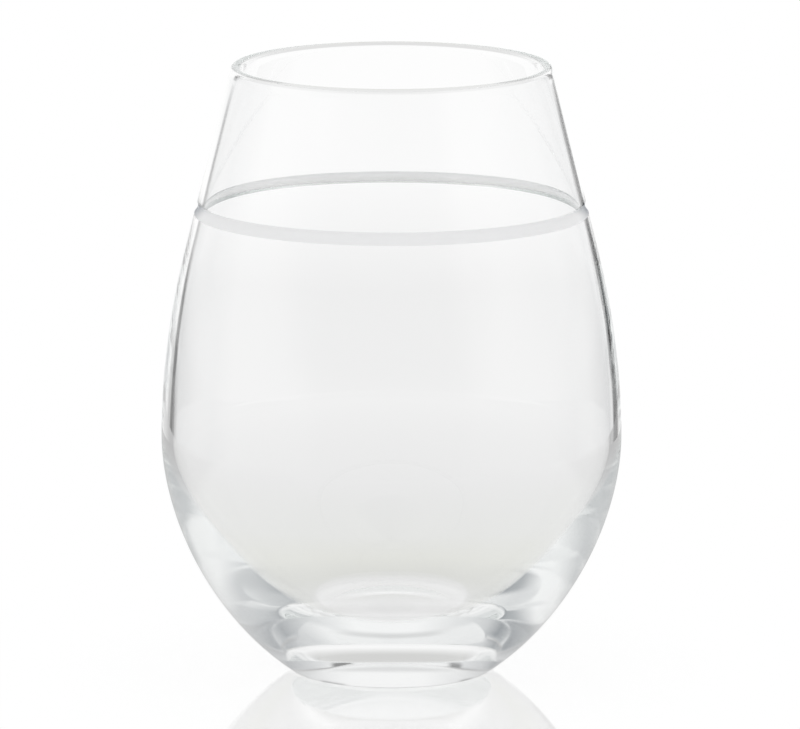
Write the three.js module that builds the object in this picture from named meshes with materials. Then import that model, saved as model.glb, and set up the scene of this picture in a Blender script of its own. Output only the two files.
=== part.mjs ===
// Rum glass: a stemless, egg-shaped tumbler of clear glass with one frosted ring cut around its wall.
// It stands on z = 0 with its axis on Z. The real glass is one piece; each mesh here is one zone of it,
// and neighbouring zones meet on a level ring face.
import * as THREE from "three";

// Driving dimensions, in millimetres.
const glassHeight = 120;
const bellyDiameter = 90; // outside, at the widest level
const bellyHeight = 46.4; // widest level above the table
const shoulderHeight = 83; // above this level the wall runs straight
const rimDiameter = 62.4; // outside, at the top of the wall
const heelDiameter = 38; // where the lower curve would reach the table
const heelLift = 0.45; // height of the rounded corner at the foot
const heelSetback = 1.2; // how far the rounded corner draws the foot in
const standingWidth = 4.5; // flat ring that touches the table
const puntDepth = 0.7; // hollow under the base
const puntFullness = 2; // power of the hollow's profile: 2 is a parabola, higher is flatter
const floorHeight = 9.1; // flat floor of the inside
const floorRounding = 0.2; // where the floor turns up into the wall
const innerReach = 5.25; // level where the inside curve would close, below the floor
const baseTop = 16; // level where the thick base passes into the bowl
const bellyWall = 2.25; // wall at the belly, measured level
const lowerThickening = 1.25; // extra wall low down
const thickeningDrop = 25; // how far below the belly the extra wall is all there
const ringWall = 1.5; // wall at the frosted ring, measured level
const rimWall = 2.1; // wall at the rim, measured level
const rimFlare = 3; // power of the wall's growth from the ring to the rim: higher keeps it near the rim
const lipHeight = 2.6; // rounded zone at the rim
const grooveLevel = 92.1; // middle of the frosted ring
const grooveHeight = 2.5;
const grooveDepth = 0.4;
const outerFullness = 1.8; // power of the lower outside curve: 2 is an ellipse, less is leaner
const innerFullness = 1.93; // the same for the inside

// Facets around the axis, and steps along each stretch of the profile.
const facets = 64;
const lowerSteps = 6;
const upperSteps = 6;
const baseSteps = 6;
const floorSteps = 2;
const heelSteps = 2;
const puntSteps = 4;
const grooveSteps = 6;
const bandInsideSteps = 1; // the inside is straight there
const lipSteps = 6;
const collarSteps = 4;

const bellyRadius = bellyDiameter / 2;
const rimRadius = rimDiameter / 2;
const heelRadius = heelDiameter / 2;
const footRadius = heelRadius - heelSetback;
const puntRadius = footRadius - standingWidth;
const grooveBottom = grooveLevel - grooveHeight / 2;
const grooveTop = grooveLevel + grooveHeight / 2;
const lipBottom = glassHeight - lipHeight;

// Quarter of a superellipse: full width at depth 0, nothing at its whole depth.
function taper( width, depth, wholeDepth, fullness ) {

	const share = Math.min( depth / wholeDepth, 1 );
	return width * Math.pow( 1 - Math.pow( share, fullness ), 1 / fullness );

}

// Depth of the lower outside curve below the belly, chosen so that it passes through the heel.
const heelShare = Math.pow( heelRadius / bellyRadius, outerFullness );
const outerDepth = bellyHeight / Math.pow( 1 - heelShare, 1 / outerFullness );

// Above the belly the wall bends in as a parabola up to the shoulder, then runs straight to the rim.
const bendRise = shoulderHeight - bellyHeight;
const straightRise = glassHeight - shoulderHeight;
const bend = ( bellyRadius - rimRadius ) / ( bendRise * ( bendRise + 2 * straightRise ) );

function outerRadius( z ) {

	if ( z < bellyHeight ) return taper( bellyRadius, bellyHeight - z, outerDepth, outerFullness );
	if ( z < shoulderHeight ) return bellyRadius - bend * ( z - bellyHeight ) ** 2;
	return rimRadius + 2 * bend * bendRise * ( glassHeight - z );

}

// The wall thickens below the belly, is thinnest at the ring and grows again toward the rim.
function innerRadius( z ) {

	if ( z < bellyHeight ) {

		const drop = bellyHeight - z;
		const extra = lowerThickening * THREE.MathUtils.smoothstep( drop, 0, thickeningDrop );
		return taper( bellyRadius - bellyWall, drop, bellyHeight - innerReach, innerFullness ) - extra;

	}

	if ( z < grooveTop ) {

		const rise = THREE.MathUtils.smoothstep( z, bellyHeight, grooveBottom );
		return outerRadius( z ) - THREE.MathUtils.lerp( bellyWall, ringWall, rise );

	}

	const share = ( z - grooveTop ) / ( glassHeight - grooveTop );
	return outerRadius( z ) - THREE.MathUtils.lerp( ringWall, rimWall, Math.pow( share, rimFlare ) );

}

// Points along a stretch of the profile, from one level to another and including both ends.
function stretch( radiusAt, from, to, steps ) {

	const points = [];

	for ( let i = 0; i <= steps; i ++ ) {

		const z = THREE.MathUtils.lerp( from, to, i / steps );
		points.push( new THREE.Vector2( radiusAt( z ), z ) );

	}

	return points;

}

// Revolves a profile of (radius, level) points that runs anticlockwise around the solid.
function turned( name, profile, material ) {

	const geometry = new THREE.LatheGeometry( profile, facets );
	geometry.rotateX( Math.PI / 2 );
	const mesh = new THREE.Mesh( geometry, material );
	mesh.name = name;
	return mesh;

}

function clearGlass() {

	return new THREE.MeshStandardMaterial( {
		color: 0xe9edea,
		roughness: 0.03,
		metalness: 0,
		transparent: true,
		opacity: 0.35
	} );

}

function frostedGlass() {

	return new THREE.MeshStandardMaterial( {
		color: 0xdfe1e1,
		roughness: 0.65,
		metalness: 0,
		transparent: true,
		opacity: 0.85
	} );

}

// Thick bottom: hollow underside, flat standing ring, rounded heel, and the flat floor of the inside.
function makeBase() {

	const profile = [];

	for ( let i = 0; i <= puntSteps; i ++ ) {

		const share = i / puntSteps;
		const rise = puntDepth * ( 1 - Math.pow( share, puntFullness ) );
		profile.push( new THREE.Vector2( puntRadius * share, rise ) );

	}

	const foot = new THREE.Vector2( footRadius, 0 );
	const corner = new THREE.Vector2( heelRadius, 0 );
	const heel = new THREE.Vector2( outerRadius( heelLift ), heelLift );
	profile.push( ...new THREE.QuadraticBezierCurve( foot, corner, heel ).getPoints( heelSteps ) );
	profile.push( ...stretch( outerRadius, heelLift, baseTop, baseSteps ).slice( 1 ) );

	const floorRadius = innerRadius( floorHeight );
	const wallEnd = floorHeight + floorRounding;
	const down = new THREE.Vector2( innerRadius( wallEnd ), wallEnd );
	const turn = new THREE.Vector2( floorRadius, floorHeight );
	const inward = new THREE.Vector2( floorRadius - floorRounding, floorHeight );
	profile.push( ...stretch( innerRadius, baseTop, wallEnd, baseSteps ) );
	profile.push( ...new THREE.QuadraticBezierCurve( down, turn, inward ).getPoints( floorSteps ).slice( 1 ) );
	profile.push( new THREE.Vector2( 0, floorHeight ) );
	return turned( 'base', profile, clearGlass() );

}

// A ring of wall: its outside from the bottom up, its inside from the top down, closed across its bottom.
function wallRing( name, outside, inside, material ) {

	return turned( name, [ ...outside, ...inside, outside[ 0 ].clone() ], material );

}

// The rounded body, with a ring of points exactly at its widest level.
function makeBowl() {

	const outside = stretch( outerRadius, baseTop, bellyHeight, lowerSteps );
	outside.push( ...stretch( outerRadius, bellyHeight, grooveBottom, upperSteps ).slice( 1 ) );
	const inside = stretch( innerRadius, grooveBottom, bellyHeight, upperSteps );
	inside.push( ...stretch( innerRadius, bellyHeight, baseTop, lowerSteps ).slice( 1 ) );
	return wallRing( 'bowl', outside, inside, clearGlass() );

}

// The frosted ring: a shallow rounded cut in the outside of the wall.
function makeFrostedBand() {

	function cutRadius( z ) {

		const share = ( z - grooveLevel ) / ( grooveHeight / 2 );
		return outerRadius( z ) - grooveDepth * ( 1 - share * share );

	}

	const outside = stretch( cutRadius, grooveBottom, grooveTop, grooveSteps );
	const inside = stretch( innerRadius, grooveTop, grooveBottom, bandInsideSteps );
	return wallRing( 'frosted_band', outside, inside, frostedGlass() );

}

function makeCollar() {

	const outside = stretch( outerRadius, grooveTop, lipBottom, collarSteps );
	const inside = stretch( innerRadius, lipBottom, grooveTop, collarSteps );
	return wallRing( 'collar', outside, inside, clearGlass() );

}

// The rim of the glass, rounded over from the outside of the wall to the inside.
function makeLip() {

	const roundLevel = glassHeight - rimWall / 2;
	const outer = outerRadius( roundLevel );
	const inner = innerRadius( roundLevel );
	const profile = [ new THREE.Vector2( outerRadius( lipBottom ), lipBottom ) ];

	for ( let i = 0; i <= lipSteps; i ++ ) {

		const angle = Math.PI * i / lipSteps;
		const r = ( outer + inner ) / 2 + ( outer - inner ) / 2 * Math.cos( angle );
		profile.push( new THREE.Vector2( r, roundLevel + rimWall / 2 * Math.sin( angle ) ) );

	}

	profile.push( new THREE.Vector2( innerRadius( lipBottom ), lipBottom ) );
	profile.push( profile[ 0 ].clone() );
	return turned( 'lip', profile, clearGlass() );

}

const glass = new THREE.Group();
glass.name = 'rum_glass';
glass.add( makeBase(), makeBowl(), makeFrostedBand(), makeCollar(), makeLip() );

export default glass;
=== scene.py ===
import math

import bmesh
import bpy
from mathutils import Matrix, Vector


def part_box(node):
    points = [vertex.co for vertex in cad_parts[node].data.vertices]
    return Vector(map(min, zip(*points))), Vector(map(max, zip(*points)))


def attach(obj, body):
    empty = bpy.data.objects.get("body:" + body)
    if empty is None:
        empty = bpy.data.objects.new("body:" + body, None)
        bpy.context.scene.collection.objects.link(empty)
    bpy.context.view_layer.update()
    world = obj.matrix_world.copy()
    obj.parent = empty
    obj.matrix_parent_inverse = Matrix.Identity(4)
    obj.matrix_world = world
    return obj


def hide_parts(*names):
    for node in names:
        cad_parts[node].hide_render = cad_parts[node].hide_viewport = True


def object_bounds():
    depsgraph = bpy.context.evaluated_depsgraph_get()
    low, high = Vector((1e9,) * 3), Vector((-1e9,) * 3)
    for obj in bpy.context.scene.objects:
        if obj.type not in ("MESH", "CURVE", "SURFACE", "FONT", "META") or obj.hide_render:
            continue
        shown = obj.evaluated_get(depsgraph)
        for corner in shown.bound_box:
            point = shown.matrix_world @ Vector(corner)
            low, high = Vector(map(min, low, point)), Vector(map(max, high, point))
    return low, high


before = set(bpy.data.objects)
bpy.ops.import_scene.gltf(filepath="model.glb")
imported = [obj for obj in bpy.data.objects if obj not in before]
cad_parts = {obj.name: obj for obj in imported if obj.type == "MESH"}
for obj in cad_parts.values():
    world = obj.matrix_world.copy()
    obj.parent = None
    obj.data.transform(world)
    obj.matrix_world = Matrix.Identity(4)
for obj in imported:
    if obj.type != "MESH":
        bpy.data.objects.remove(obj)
cadLow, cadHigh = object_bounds()
print("frame loaded:", ", ".join(sorted(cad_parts)))

# levels and radii of the glass, read from the zones of the frame
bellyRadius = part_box("bowl")[1].x
bandLow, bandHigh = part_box("frosted_band")
glassTop = cadHigh.z

glassSettings = {
    "bellyLevel": 0.0464,
    "shoulderLevel": 0.083,
    "rimRadius": 0.0312,
    "heelRadius": 0.019,  # where the lower curve would reach the table
    "heelLift": 0.00045,  # height of the rounded corner at the foot
    "heelSetback": 0.0012,  # how far that corner draws the foot in
    "standingWidth": 0.0045,  # flat ring that touches the table
    "puntDepth": 0.0007,  # hollow under the base
    "puntFullness": 2.0,
    "floorLevel": 0.0091,  # flat floor of the inside
    "floorRounding": 0.0002,
    "innerReach": 0.00525,  # level where the inside curve would close, below the floor
    "bellyWall": 0.00225,
    "lowerThickening": 0.00125,  # extra wall low down
    "thickeningDrop": 0.025,  # how far below the belly it is all there
    "ringWall": 0.0015,
    "rimWall": 0.0021,
    "rimFlare": 3.0,  # higher keeps the wall's growth near the rim
    "outerFullness": 1.8,  # power of the lower outside curve, where 2 is an ellipse
    "innerFullness": 1.93,
    "hold": 0.0001,  # keeps the edges of the standing ring crisp
    "facets": 288,
    "sharpAngle": 25,  # degrees, below which an edge is smoothed over
    # steps along each stretch of the profile
    "puntSteps": 32,
    "heelSteps": 8,
    "lowerSteps": 50,
    "upperSteps": 30,
    "collarSteps": 14,
    "lipSteps": 16,
    "insideSteps": 46,
    "insideLowSteps": 64,
    "crowding": 1.4,  # brings the steps low on the inside closer together toward the floor
    "cornerSteps": 6,
    "floorRings": (0.98, 0.9, 0.6, 0.3, 0.0),  # shares of the floor's radius
}


def taper(width, depth, wholeDepth, fullness):
    share = min(depth / wholeDepth, 1.0)
    return width * (1 - share ** fullness) ** (1 / fullness)


def ease(share):
    share = min(max(share, 0.0), 1.0)
    return share * share * (3 - 2 * share)


def bent(start, corner, end, steps):
    # points of a rounded corner after its start
    for i in range(1, steps + 1):
        t = i / steps
        rest = 1 - t
        yield tuple(rest * rest * a + 2 * t * rest * b + t * t * c for a, b, c in zip(start, corner, end))


def outerRadius(z, s=glassSettings):
    belly, shoulder = s["bellyLevel"], s["shoulderLevel"]
    if z < belly:
        heelShare = (s["heelRadius"] / bellyRadius) ** s["outerFullness"]
        wholeDepth = belly / (1 - heelShare) ** (1 / s["outerFullness"])
        return taper(bellyRadius, belly - z, wholeDepth, s["outerFullness"])
    bendRise, straightRise = shoulder - belly, glassTop - shoulder
    bend = (bellyRadius - s["rimRadius"]) / (bendRise * (bendRise + 2 * straightRise))
    if z < shoulder:
        return bellyRadius - bend * (z - belly) ** 2
    return s["rimRadius"] + 2 * bend * bendRise * (glassTop - z)


def innerRadius(z, s=glassSettings):
    # the wall thickens below the belly, is thinnest at the ring and grows again toward the rim
    belly = s["bellyLevel"]
    if z < belly:
        curve = taper(bellyRadius - s["bellyWall"], belly - z, belly - s["innerReach"], s["innerFullness"])
        return curve - s["lowerThickening"] * ease((belly - z) / s["thickeningDrop"])
    if z < bandHigh.z:
        share = ease((z - belly) / (bandLow.z - belly))
        return outerRadius(z) - s["bellyWall"] - (s["ringWall"] - s["bellyWall"]) * share
    share = (z - bandHigh.z) / (glassTop - bandHigh.z)
    return outerRadius(z) - s["ringWall"] - (s["rimWall"] - s["ringWall"]) * share ** s["rimFlare"]


def levels(low, high, steps):
    return [low + (high - low) * i / steps for i in range(steps + 1)]


bandSettings = {
    "cutDepth": 0.0004,  # how far the ring lies back from the wall, at its middle
    "thickness": 0.00008,
    "seam": 0.00001,  # between the ring and its seat in the wall
    "steps": 20,
    "facets": 288,
    "sharpAngle": 25,
}


def cutRadius(z, depth):
    # a shallow round cut in the outside of the wall, with its edges at the band's ends
    middle, half = (bandLow.z + bandHigh.z) / 2, (bandHigh.z - bandLow.z) / 2
    return outerRadius(z) - depth * (1 - ((z - middle) / half) ** 2)


def glassProfile(s=glassSettings):
    # (radius, level) anticlockwise: under the base, up the outside, over the rim, down the inside
    footRadius = s["heelRadius"] - s["heelSetback"]
    puntRadius = footRadius - s["standingWidth"]
    line = []
    for share in levels(0, 1, s["puntSteps"]):
        line.append((puntRadius * share, s["puntDepth"] * (1 - share ** s["puntFullness"])))
    foot = (footRadius, 0.0)
    line += [(puntRadius + s["hold"], 0.0), (footRadius - s["hold"], 0.0), foot]
    heel = (outerRadius(s["heelLift"]), s["heelLift"])
    line += bent(foot, (s["heelRadius"], 0.0), heel, s["heelSteps"])
    line += [(outerRadius(z), z) for z in levels(s["heelLift"], s["bellyLevel"], s["lowerSteps"])[1:]]
    line += [(outerRadius(z), z) for z in levels(s["bellyLevel"], bandLow.z, s["upperSteps"])[1:]]
    seatDepth = bandSettings["cutDepth"] + bandSettings["thickness"] + bandSettings["seam"]
    seat = levels(bandLow.z, bandHigh.z, bandSettings["steps"])
    line += [(cutRadius(z, seatDepth), z) for z in seat[1:]]

    roundLevel = glassTop - s["rimWall"] / 2
    line += [(outerRadius(z), z) for z in levels(bandHigh.z, roundLevel, s["collarSteps"])[1:]]
    lipOuter, lipInner = outerRadius(roundLevel), innerRadius(roundLevel)
    for angle in levels(0, math.pi, s["lipSteps"])[1:-1]:
        r = (lipOuter + lipInner) / 2 + (lipOuter - lipInner) / 2 * math.cos(angle)
        line.append((r, roundLevel + s["rimWall"] / 2 * math.sin(angle)))

    line += [(innerRadius(z), z) for z in levels(roundLevel, s["bellyLevel"], s["insideSteps"])]
    wallEnd = s["floorLevel"] + s["floorRounding"]
    for share in levels(1, 0, s["insideLowSteps"])[1:]:
        z = wallEnd + (s["bellyLevel"] - wallEnd) * share ** s["crowding"]
        line.append((innerRadius(z), z))
    floorRadius = innerRadius(s["floorLevel"])
    floorEdge = (floorRadius - s["floorRounding"], s["floorLevel"])
    line += bent(line[-1], (floorRadius, s["floorLevel"]), floorEdge, s["cornerSteps"])
    line += [(floorEdge[0] * share, s["floorLevel"]) for share in s["floorRings"]]
    return line


def bandProfile(s=bandSettings):
    # the ring's face upward, then its back downward
    heights = levels(bandLow.z, bandHigh.z, s["steps"])
    face = [(cutRadius(z, s["cutDepth"]), z) for z in heights]
    back = [(cutRadius(z, s["cutDepth"] + s["thickness"]), z) for z in heights[-2:0:-1]]
    return face + back + face[:1]


def turnProfile(name, line, s, material):
    # revolves a profile that begins and ends on the axis, or comes back to its first point
    facets = s["facets"]
    closed = line[0] == line[-1]
    mesh = bmesh.new()
    rings = []
    for r, z in line[:-1] if closed else line:
        turns = [2 * math.pi * i / facets for i in range(facets)] if r > 0 else [0.0]
        rings.append([mesh.verts.new((r * math.cos(a), r * math.sin(a), z)) for a in turns])
    for low, high in zip(rings, rings[1:] + rings[:1] if closed else rings[1:]):
        for i in range(facets):
            j = (i + 1) % facets
            corners = [low[i % len(low)], low[j % len(low)], high[j % len(high)], high[i % len(high)]]
            mesh.faces.new(list(dict.fromkeys(corners))).smooth = True
    bmesh.ops.recalc_face_normals(mesh, faces=mesh.faces[:])
    data = bpy.data.meshes.new(name)
    mesh.to_mesh(data)
    mesh.free()
    data.materials.append(material)
    data.set_sharp_from_angle(angle=math.radians(s["sharpAngle"]))
    piece = bpy.data.objects.new(name, data)
    bpy.context.scene.collection.objects.link(piece)
    return piece


white = (1, 1, 1, 1)
black = (0, 0, 0, 1)
levelSpan = (-90, 90)  # degrees
turnSpan = (-180, 180)


def addMath(tree, operation, *values):
    node = tree.nodes.new("ShaderNodeMath")
    node.operation = operation
    for socket, value in zip(node.inputs, values):
        if isinstance(value, (int, float)):
            socket.default_value = value
        else:
            tree.links.new(value, socket)
    return node.outputs[0]


def addRange(tree, value, fromLow, fromHigh, toLow, toHigh):
    # eases from toLow to toHigh while the value goes from fromLow to fromHigh
    node = tree.nodes.new("ShaderNodeMapRange")
    node.interpolation_type = "SMOOTHSTEP"
    node.inputs["From Min"].default_value = fromLow
    node.inputs["From Max"].default_value = fromHigh
    node.inputs["To Min"].default_value = toLow
    node.inputs["To Max"].default_value = toHigh
    tree.links.new(value, node.inputs["Value"])
    return node.outputs["Result"]


def addRamp(tree, value, stops, low, high):
    # shades by a value that runs from low to high
    node = tree.nodes.new("ShaderNodeValToRGB")
    ramp = node.color_ramp
    while len(ramp.elements) < len(stops):
        ramp.elements.new(0.5)
    for element, (place, shade) in zip(ramp.elements, stops):
        element.position = (place - low) / (high - low)
        element.color = (*shade, 1)
    share = addMath(tree, "DIVIDE", addMath(tree, "SUBTRACT", value, low), high - low)
    tree.links.new(share, node.inputs["Fac"])
    return node.outputs["Color"]


def addMix(tree, share, first, second):
    node = tree.nodes.new("ShaderNodeMix")
    node.data_type = "RGBA"
    sockets = node.inputs[0], node.inputs[6], node.inputs[7]  # the share and the two colours
    for socket, value in zip(sockets, (share, first, second)):
        if isinstance(value, tuple):
            socket.default_value = value
        else:
            tree.links.new(value, socket)
    return node.outputs[2]


def crossed(tree, path, faces):
    # tells light that has gone through so many faces of the glass
    tolerance = 0.1
    return addMath(tree, "COMPARE", path.outputs["Transmission Depth"], faces, tolerance)


surfaceSettings = {
    # the group's inputs before a material sets its own
    "inputs": {"Wave Size": 0.012, "Film Size": 0.006, "Least": 0.0, "Most": 0.02},
    "waveDetail": 1.0,
    "filmDetail": 4.0,
    "filmSpan": (0.3, 0.7),  # part of the noise that the film runs over
}


def makeSurfaceGroup(s=surfaceSettings):
    # slow waves of drawn glass, and a film that dulls it here and there
    group = bpy.data.node_groups.new("glassSurface", "ShaderNodeTree")
    for name, value in s["inputs"].items():
        socket = group.interface.new_socket(name, in_out="INPUT", socket_type="NodeSocketFloat")
        socket.default_value = value
    for name in ("Height", "Film"):
        group.interface.new_socket(name, in_out="OUTPUT", socket_type="NodeSocketFloat")
    nodes, links = group.nodes, group.links
    given, result = nodes.new("NodeGroupInput"), nodes.new("NodeGroupOutput")
    place = nodes.new("ShaderNodeTexCoord")

    def cloud(size, detail):
        noise = nodes.new("ShaderNodeTexNoise")
        noise.inputs["Detail"].default_value = detail
        links.new(place.outputs["Object"], noise.inputs["Vector"])
        links.new(addMath(group, "DIVIDE", 1.0, size), noise.inputs["Scale"])
        return noise.outputs["Fac"]

    links.new(cloud(given.outputs["Wave Size"], s["waveDetail"]), result.inputs["Height"])
    film = nodes.new("ShaderNodeMapRange")
    film.inputs["From Min"].default_value = s["filmSpan"][0]
    film.inputs["From Max"].default_value = s["filmSpan"][1]
    links.new(cloud(given.outputs["Film Size"], s["filmDetail"]), film.inputs["Value"])
    links.new(given.outputs["Least"], film.inputs["To Min"])
    links.new(given.outputs["Most"], film.inputs["To Max"])
    links.new(film.outputs["Result"], result.inputs["Film"])
    return group


surfaceGroup = makeSurfaceGroup()


def glassMaterial(name, s):
    material = bpy.data.materials.new(name)
    material.use_nodes = True
    tree = material.node_tree
    nodes, links = tree.nodes, tree.links
    glass, out = nodes["Principled BSDF"], nodes["Material Output"]
    glass.inputs["Base Color"].default_value = s["tint"]
    # painted shade: the ring's colour darkens where it turns away from the eye
    if "paintedEdgeShade" in s:
        facing = nodes.new("ShaderNodeLayerWeight")
        away = addRange(tree, facing.outputs["Facing"], *s["edgeReach"], 0.0, 1.0)
        links.new(addMix(tree, away, s["tint"], s["paintedEdgeShade"]), glass.inputs["Base Color"])
    glass.inputs["IOR"].default_value = s["ior"]
    glass.inputs["Specular IOR Level"].default_value = s["specular"]
    glass.inputs["Transmission Weight"].default_value = s["clearness"]
    surface = nodes.new("ShaderNodeGroup")
    surface.node_tree = surfaceGroup
    surface.inputs["Wave Size"].default_value = s["waveSize"]
    surface.inputs["Film Size"].default_value = s["filmSize"]
    surface.inputs["Least"].default_value = s["roughness"][0]
    surface.inputs["Most"].default_value = s["roughness"][1]
    bump = nodes.new("ShaderNodeBump")
    bump.inputs["Strength"].default_value = 1.0
    bump.inputs["Distance"].default_value = s["waveDepth"]
    links.new(surface.outputs["Height"], bump.inputs["Height"])
    links.new(surface.outputs["Film"], glass.inputs["Roughness"])
    links.new(bump.outputs["Normal"], glass.inputs["Normal"])
    body = nodes.new("ShaderNodeVolumeAbsorption")
    body.inputs["Color"].default_value = s["bodyTint"]
    body.inputs["Density"].default_value = s["bodyDensity"]
    links.new(body.outputs["Volume"], out.inputs["Volume"])
    return material


clearSettings = {
    "tint": (1.0, 1.0, 1.0, 1.0),
    "clearness": 1.0,
    "ior": 1.5,
    "specular": 0.5,
    "roughness": (0.0, 0.012),
    "waveSize": 0.014,
    "waveDepth": 0.00002,
    "filmSize": 0.005,
    "bodyTint": (0.84, 0.87, 0.86, 1.0),  # colour that thick glass leans to
    "bodyDensity": 5.0,  # per metre
}

frostedSettings = {
    "tint": (0.95, 0.952, 0.955, 1.0),
    "paintedEdgeShade": (0.40, 0.42, 0.45, 1.0),  # painted shade that the ring's colour darkens to where it turns away from the eye
    "edgeReach": (0.68, 0.95),
    "clearness": 0.2,
    "ior": 1.5,
    "specular": 0.1,
    "roughness": (0.42, 0.6),
    "waveSize": 0.00035,
    "waveDepth": 0.00002,
    "filmSize": 0.0009,
    "bodyTint": (0.84, 0.87, 0.86, 1.0),
    "bodyDensity": 5.0,
}


def makeGlass():
    material = glassMaterial("clear_glass", clearSettings)
    piece = turnProfile("glass", glassProfile(), glassSettings, material)
    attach(piece, "root")
    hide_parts("base", "bowl", "collar", "lip")
    print("glass made:", len(piece.data.polygons), "faces")


def makeBand():
    material = glassMaterial("frosted_glass", frostedSettings)
    piece = turnProfile("frosted_ring", bandProfile(), bandSettings, material)
    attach(piece, "root")
    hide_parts("frosted_band")
    print("frosted ring made:", len(piece.data.polygons), "faces")


floorSettings = {
    "radius": 0.27,
    "segments": 128,
    "drop": 0.00002,  # below the glass
    "colour": (0.97, 0.97, 0.97, 1.0),
    "glossShare": 1.5,
    "glossRoughness": 0.045,
    "glossReach": (0.07, 0.11),  # the mirror image fades out between these radii
    "shadowReach": (0.02, 0.075),  # the object's shadow fades to plain white between these radii
    "shadowKeep": 0.25,
    "mirrored": (0.6, 0.6, 0.6, 1.0),  # painted shade of the floor as the outside of the glass mirrors it
    "mirroredAhead": (0.82, 0.82, 0.82, 1.0),  # the same painted shade, in front of the glass and away from it
    "aheadReach": (0.08, 0.2),
    "behind": (0.0, 0.04),  # from front to back
    "paintedShadeInGlass": [  # radius in metres and painted shade of the floor where the glass shows it: a painted shadow darkest just outside the foot, and lighter rings of painted light under the base
        (0.0, (0.76, 0.76, 0.76)),
        (0.004, (0.76, 0.76, 0.76)),
        (0.006, (0.80, 0.80, 0.80)),
        (0.014, (0.80, 0.80, 0.80)),
        (0.016, (0.85, 0.85, 0.85)),
        (0.018, (0.76, 0.76, 0.76)),
        (0.021, (0.70, 0.705, 0.685)),
        (0.026, (0.69, 0.695, 0.665)),
        (0.040, (0.765, 0.77, 0.73)),
        (0.060, (0.79, 0.795, 0.78)),
        (0.135, (0.81, 0.81, 0.81)),
        (0.270, (0.893, 0.893, 0.893)),
    ],
    "underReach": (0.025, 0.035),  # seen through the base inside these radii
    "besideReach": (0.05, 0.09),  # seen through one wall this far to the sides
    "besideLeast": 0.25,
    "paintedShadeInWall": [  # radius and painted shade there: painted light near the middle and just outside the standing ring, a painted shadow under the ring, and darker farther out
        (0.0, (0.85, 0.85, 0.85)),
        (0.0075, (0.95, 0.95, 0.95)),
        (0.009, (0.85, 0.85, 0.85)),
        (0.012, (0.66, 0.66, 0.65)),
        (0.015, (0.66, 0.66, 0.65)),
        (0.018, (1.0, 1.0, 1.0)),
        (0.022, (0.78, 0.78, 0.78)),
        (0.080, (0.72, 0.72, 0.72)),
        (0.130, (0.54, 0.54, 0.54)),
        (0.270, (0.48, 0.48, 0.48)),
    ],
}


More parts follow.
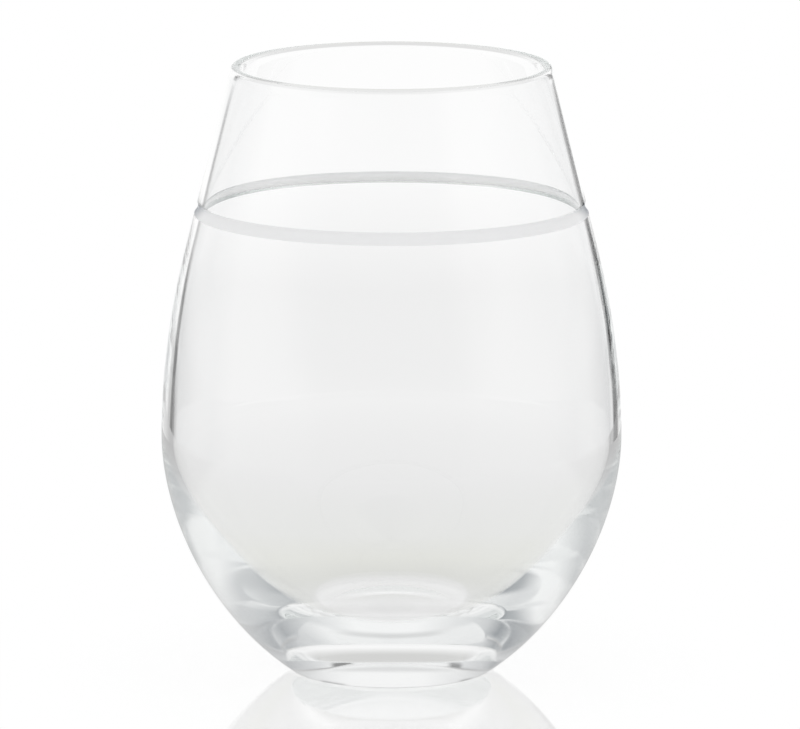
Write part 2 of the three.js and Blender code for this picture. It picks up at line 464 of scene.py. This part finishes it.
def makeFloor(s=floorSettings):
    mesh = bmesh.new()
    bmesh.ops.create_circle(mesh, cap_ends=True, segments=s["segments"], radius=s["radius"])
    data = bpy.data.meshes.new("floor")
    mesh.to_mesh(data)
    mesh.free()
    floor = bpy.data.objects.new("floor", data)
    floor.location.z = -s["drop"]
    bpy.context.scene.collection.objects.link(floor)

    material = bpy.data.materials.new("floor")
    material.use_nodes = True
    tree = material.node_tree
    nodes, links = tree.nodes, tree.links
    surface = nodes["Principled BSDF"]
    surface.inputs["Base Color"].default_value = s["colour"]
    surface.inputs["Roughness"].default_value = 1.0
    surface.inputs["Specular IOR Level"].default_value = 0.0
    place = nodes.new("ShaderNodeNewGeometry")
    length = nodes.new("ShaderNodeVectorMath")
    length.operation = "LENGTH"
    links.new(place.outputs["Position"], length.inputs[0])
    radius = length.outputs["Value"]
    path = nodes.new("ShaderNodeLightPath")

    bright = nodes.new("ShaderNodeEmission")
    bright.inputs["Color"].default_value = white
    whiteness = addRange(tree, radius, *s["shadowReach"], 1 - s["shadowKeep"], 1.0)
    toCamera = nodes.new("ShaderNodeMixShader")
    links.new(addMath(tree, "MULTIPLY", whiteness, path.outputs["Is Camera Ray"]), toCamera.inputs["Fac"])
    links.new(surface.outputs["BSDF"], toCamera.inputs[1])
    links.new(bright.outputs["Emission"], toCamera.inputs[2])

    gloss = nodes.new("ShaderNodeBsdfGlossy")
    gloss.inputs["Color"].default_value = white
    gloss.inputs["Roughness"].default_value = s["glossRoughness"]
    fresnel = nodes.new("ShaderNodeFresnel")
    glossed = nodes.new("ShaderNodeMixShader")
    near = addRange(tree, radius, *s["glossReach"], s["glossShare"], 0.0)
    links.new(addMath(tree, "MULTIPLY", fresnel.outputs["Fac"], near), glossed.inputs["Fac"])
    links.new(toCamera.outputs["Shader"], glossed.inputs[1])
    links.new(gloss.outputs["BSDF"], glossed.inputs[2])

    def shownAs(colour, rays, otherwise):
        shown = nodes.new("ShaderNodeEmission")
        mix = nodes.new("ShaderNodeMixShader")
        links.new(colour, shown.inputs["Color"])
        links.new(path.outputs[rays], mix.inputs["Fac"])
        links.new(otherwise, mix.inputs[1])
        links.new(shown.outputs["Emission"], mix.inputs[2])
        return mix.outputs["Shader"]

    split = nodes.new("ShaderNodeSeparateXYZ")
    links.new(place.outputs["Position"], split.inputs[0])
    behind = addRange(tree, split.outputs["Y"], *s["behind"], 0.0, 1.0)
    aside = addMath(tree, "ABSOLUTE", split.outputs["X"])
    beside = addRange(tree, aside, *s["besideReach"], s["besideLeast"], 1.0)
    reach = addMath(tree, "MULTIPLY", beside, behind)
    reach = addMath(tree, "MAXIMUM", reach, addRange(tree, radius, *s["underReach"], 1.0, 0.0))
    oneWall = crossed(tree, path, 2)
    # painted shadow and light of the floor, as the glass shows it
    inGlass = addRamp(tree, radius, s["paintedShadeInGlass"], 0.0, s["radius"])
    # painted shade of the floor, as one wall shows it
    inWall = addRamp(tree, radius, s["paintedShadeInWall"], 0.0, s["radius"])
    inGlass = addMix(tree, addMath(tree, "MULTIPLY", oneWall, reach), inGlass, inWall)
    ahead = addRange(tree, radius, *s["aheadReach"], 0.0, 1.0)
    ahead = addMath(tree, "MULTIPLY", ahead, addMath(tree, "SUBTRACT", 1.0, behind))
    # painted shade of the floor in the outside reflections of the glass
    mirrored = addMix(tree, ahead, s["mirrored"], s["mirroredAhead"])
    result = shownAs(mirrored, "Is Glossy Ray", glossed.outputs["Shader"])
    result = shownAs(inGlass, "Is Transmission Ray", result)
    links.new(result, nodes["Material Output"].inputs["Surface"])
    data.materials.append(material)


worldSettings = {
    "backdrop": [  # level in degrees and shade of what shows right through the glass
        (-90, 0.893),
        (-12, 0.893),
        (-11.2, 0.89),
        (-10.7, 0.93),
        (-9.2, 1.0),
        (40, 1.0),
        (50, 0.82),
        (90, 0.82),
    ],
    "paleSides": (1.1, 1.9, 0.2),  # from and to degrees off the middle of the backdrop, and how much paler
    # a little farther off it is darker, low down
    "dim": {"begin": (4, 14), "end": (24, 36), "levels": (-9, -10.5), "share": 0.14},
    # degrees round from the far side and shade of what one wall or the base mirrors, from low down to high up
    "room": [
        [(-180, 0.95), (-110, 1.0), (-90, 1.0), (-75, 0.5), (-60, 0.65), (-35, 0.6), (-25, 1.0), (25, 1.0),
         (37, 0.6), (57, 0.75), (72, 0.45), (90, 0.8), (110, 0.95), (180, 0.95)],
        [(-180, 0.6), (-130, 0.6), (-105, 1.0), (-85, 1.0), (-72, 0.45), (-58, 0.3), (-45, 0.65), (-10, 1.0),
         (15, 1.0), (60, 0.4), (75, 0.6), (90, 0.65), (115, 1.0), (135, 1.0), (150, 0.6), (180, 0.6)],
        [(-180, 0.6), (-130, 0.9), (-105, 0.9), (-75, 0.75), (-55, 0.9), (30, 0.95), (45, 0.7), (60, 0.55),
         (75, 0.65), (95, 0.9), (135, 0.95), (150, 0.65), (180, 0.6)],
    ],
    "roomFades": [(-5, 2), (16, 22)],  # levels over which each passes into the next
    "roomFoot": (-12, -13.5),  # below these it is white
    # a dark bar high on the far side
    "bar": {"rise": (16, 22), "fall": (23, 28), "ends": (15, 30), "dark": 0.2},
    "coolness": 0.03,  # how blue the darker parts of the room are
    "around": [  # degrees off the far side, to either hand, and shade of what the outside mirrors
        (0, 1.0), (28, 1.0), (36, 0.7), (55, 0.75), (70, 0.9), (84, 0.85), (134, 0.8), (146, 0.6),
        (180, 0.55),
    ],
    "aroundFade": (-5, -2),  # levels over which its far part passes into white
    "aroundFar": (70, 84),  # where that part ends
    # dark uprights: degrees round, lean, half width, soft edge, and darkness by level
    "flags": [
        (20.5, 0, 5.2, 2, [(-13, 0), (-12.2, 0.5), (-11, 0.85), (-10, 0.96), (-6, 0.96), (-4.6, 0.65),
                           (-3.4, 0.75), (0, 0.75), (4, 0)]),
        (-28, 0, 3.2, 2, [(-13.5, 0), (-12.8, 1), (-6.5, 1), (-4.5, 0.75), (1, 0.6), (5, 0)]),
        (-23, 0, 3, 3, [(-13.5, 0), (-12.5, 0.6), (-11.3, 0.6), (-10.3, 0)]),
        (-33, 0, 4, 2, [(-13, 0), (-12, 0.95), (-10.9, 0.95), (-10.3, 0)]),
    ],
    "outerFlags": [
        (17.5, -0.9, 5.2, 2, [(-13.5, 0), (-12.8, 1), (-5, 1), (-4, 0.7), (5, 0.6), (9, 0)]),
        (-31, 0, 4, 2, [(-13.5, 0), (-12.8, 0.2), (-10, 0.2), (-8.5, 0)]),
    ],
}


def makeWorld(s=worldSettings):
    world = bpy.data.worlds.new("studio")
    bpy.context.scene.world = world
    world.use_nodes = True
    tree = world.node_tree
    nodes, links = tree.nodes, tree.links
    place = nodes.new("ShaderNodeTexCoord")
    split = nodes.new("ShaderNodeSeparateXYZ")
    links.new(place.outputs["Generated"], split.inputs[0])
    x, y, z = split.outputs
    level = addMath(tree, "DEGREES", addMath(tree, "ARCSINE", z))
    turn = addMath(tree, "DEGREES", addMath(tree, "ARCTAN2", x, y))  # round from the far side, to the right
    path = nodes.new("ShaderNodeLightPath")

    def shades(value, stops, span, coolness=0.0):
        # grey stops, a little less red and more blue where they are darker
        cooled = [(at, tuple(v + (1 - v) * coolness * k for k in (-1, 0, 1))) for at, v in stops]
        return addRamp(tree, value, cooled, *span)

    def darkness(flags):
        darkest = None
        for centre, lean, half, soft, stops in flags:
            middle = addMath(tree, "MULTIPLY_ADD", level, lean, centre)
            wrapped = addMath(tree, "WRAP", addMath(tree, "SUBTRACT", turn, middle), *reversed(turnSpan))
            strip = addRange(tree, addMath(tree, "ABSOLUTE", wrapped), half - soft, half + soft, 1.0, 0.0)
            strip = addMath(tree, "MULTIPLY", strip, shades(level, stops, levelSpan))
            darkest = strip if darkest is None else addMath(tree, "MAXIMUM", darkest, strip)
        return darkest

    # what one wall or the base mirrors
    room = shades(turn, s["room"][0], turnSpan, s["coolness"])
    for fade, stops in zip(s["roomFades"], s["room"][1:]):
        higher = addRange(tree, level, *fade, 0.0, 1.0)
        room = addMix(tree, higher, room, shades(turn, stops, turnSpan, s["coolness"]))
    aside = addMath(tree, "ABSOLUTE", turn)
    bar = addRange(tree, level, *s["bar"]["rise"], 0.0, s["bar"]["dark"])
    bar = addMath(tree, "MULTIPLY", bar, addRange(tree, level, *s["bar"]["fall"], 1.0, 0.0))
    bar = addMath(tree, "MULTIPLY", bar, addRange(tree, aside, *s["bar"]["ends"], 1.0, 0.0))
    room = addMix(tree, addRange(tree, level, *s["roomFoot"], 0.0, 1.0), room, white)
    room = addMix(tree, addMath(tree, "MAXIMUM", bar, darkness(s["flags"])), room, black)

    # what the outside mirrors
    far = addRange(tree, aside, *s["aroundFar"], 1.0, 0.0)
    pale = addMath(tree, "MULTIPLY", far, addRange(tree, level, *s["aroundFade"], 0.0, 1.0))
    around = addMix(tree, pale, shades(aside, s["around"], (0, 180)), white)
    around = addMix(tree, darkness(s["outerFlags"]), around, black)

    # what shows right through
    fromSide, toSide, paler = s["paleSides"]
    seen = shades(level, s["backdrop"], levelSpan)
    seen = addMix(tree, addRange(tree, aside, fromSide, toSide, 0.0, paler), seen, white)
    dim = addRange(tree, aside, *s["dim"]["begin"], 0.0, s["dim"]["share"])
    dim = addMath(tree, "MULTIPLY", dim, addRange(tree, aside, *s["dim"]["end"], 1.0, 0.0))
    dim = addMath(tree, "MULTIPLY", dim, addRange(tree, level, *s["dim"]["levels"], 0.0, 1.0))
    seen = addMix(tree, dim, seen, black)

    seen = addMix(tree, crossed(tree, path, 2), seen, room)  # in and out of one wall
    offOutside = addMath(tree, "MULTIPLY", crossed(tree, path, 0), path.outputs["Is Glossy Ray"])
    seen = addMix(tree, offOutside, seen, around)
    plain = addMath(tree, "MAXIMUM", path.outputs["Is Camera Ray"], path.outputs["Is Diffuse Ray"])
    links.new(addMix(tree, plain, seen, white), nodes["Background"].inputs["Color"])


cameraSettings = {
    "away": 2.0,  # metres from the axis, along -Y
    "height": 0.4282,
    "aimLevel": 0.06,
    "pixelsPerMm": 5.114,  # at the aim point
    "frame": (800, 729),
    "aimPixel": (391.5, 368.2),
    "sensorWidth": 36,  # millimetres
    "clipEnd": 20,
}


def makeCamera(s=cameraSettings):
    data = bpy.data.cameras.new("camera")
    camera = bpy.data.objects.new("camera", data)
    bpy.context.scene.collection.objects.link(camera)
    camera.location = (0, -s["away"], s["height"])
    toAim = Vector((0, 0, s["aimLevel"])) - camera.location
    camera.rotation_euler = toAim.to_track_quat("-Z", "Y").to_euler()
    wide, tall = s["frame"]
    data.sensor_width = s["sensorWidth"]
    data.lens = s["pixelsPerMm"] * 1000 * toAim.length * data.sensor_width / wide
    data.shift_x = (wide / 2 - s["aimPixel"][0]) / wide
    data.shift_y = (s["aimPixel"][1] - tall / 2) / wide
    data.clip_end = s["clipEnd"]
    bpy.context.scene.camera = camera


makeGlass()
makeBand()
makeFloor()
makeWorld()
makeCamera()
scene = bpy.context.scene
scene.view_settings.view_transform = "Standard"
lightTurns = 128  # light turns many times inside the thick base
scene.cycles.max_bounces = lightTurns
scene.cycles.glossy_bounces = lightTurns
scene.cycles.transmission_bounces = lightTurns
scene.cycles.blur_glossy = 0.0  # keeps clear glass clear for the light that reaches the frosted ring
print("floor, world and camera set")
